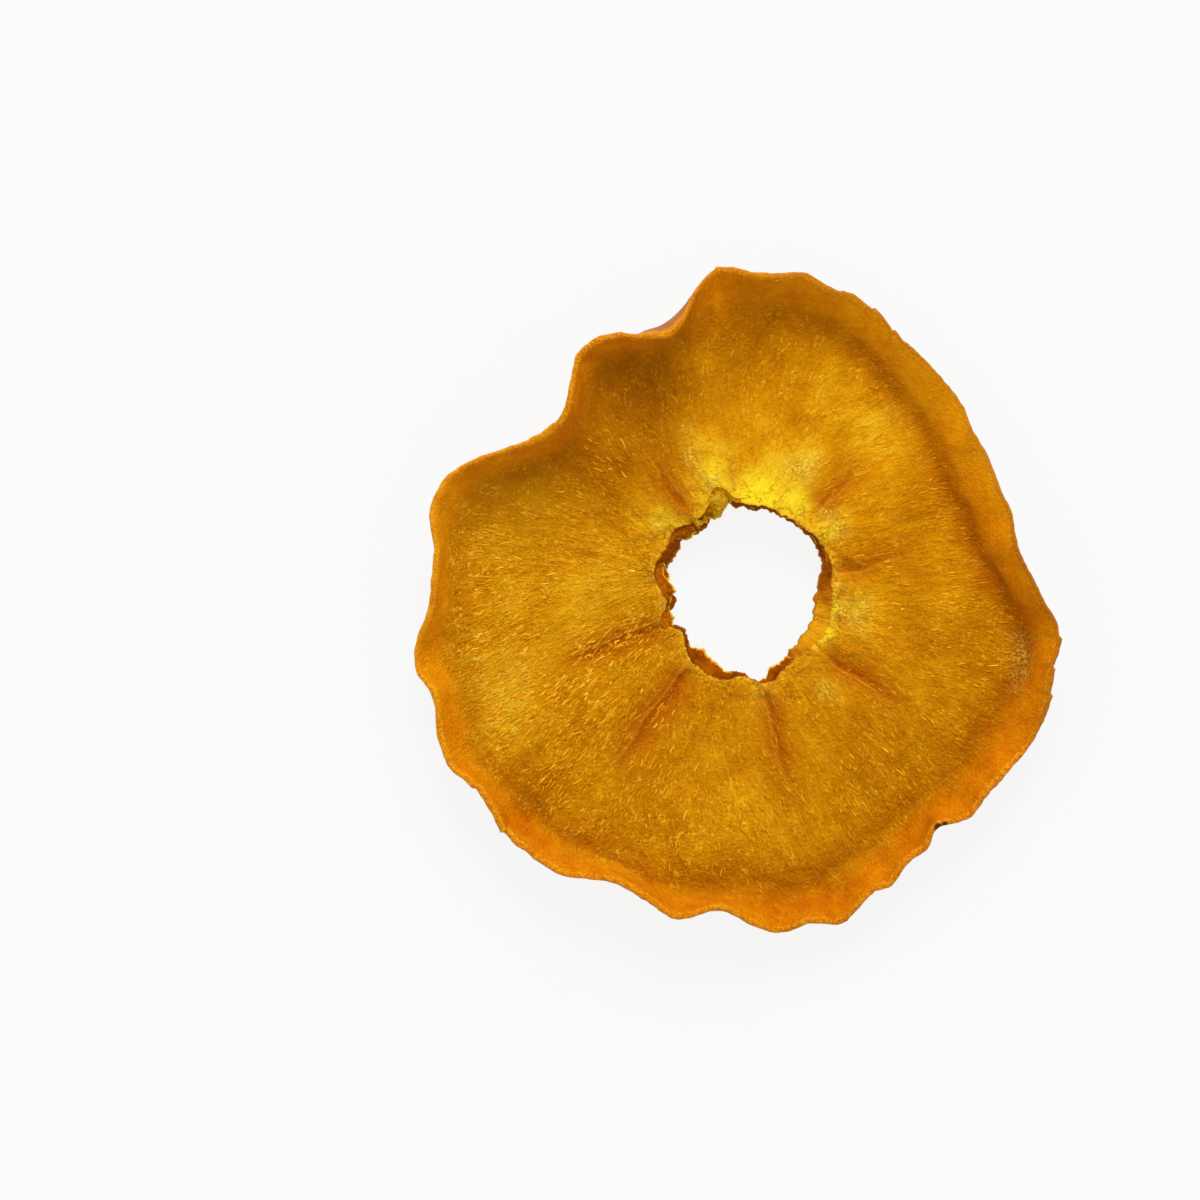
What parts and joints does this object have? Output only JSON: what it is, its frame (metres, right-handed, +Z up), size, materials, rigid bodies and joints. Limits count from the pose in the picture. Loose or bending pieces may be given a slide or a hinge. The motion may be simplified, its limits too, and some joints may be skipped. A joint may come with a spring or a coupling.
{
  "type": "dried persimmon slice",
  "caption": "Dried persimmon slice: an amber cored ring with radial fibres, a ragged core hole and a curled skin edge that stands up all round.",
  "frame": {"origin": "below the middle of the outline's box, on the surface that the slice lies on", "axes": "+Z up from the surface, through the slice's thickness; +X and +Y along the right and the top of the picture"},
  "size_m": [0.0646, 0.0665, 0.0114],
  "materials": {
    "flesh": "dried, translucent, satin"
  },
  "bodies": {
    "root": {"slice": "flesh"}
  },
  "joints": []
}
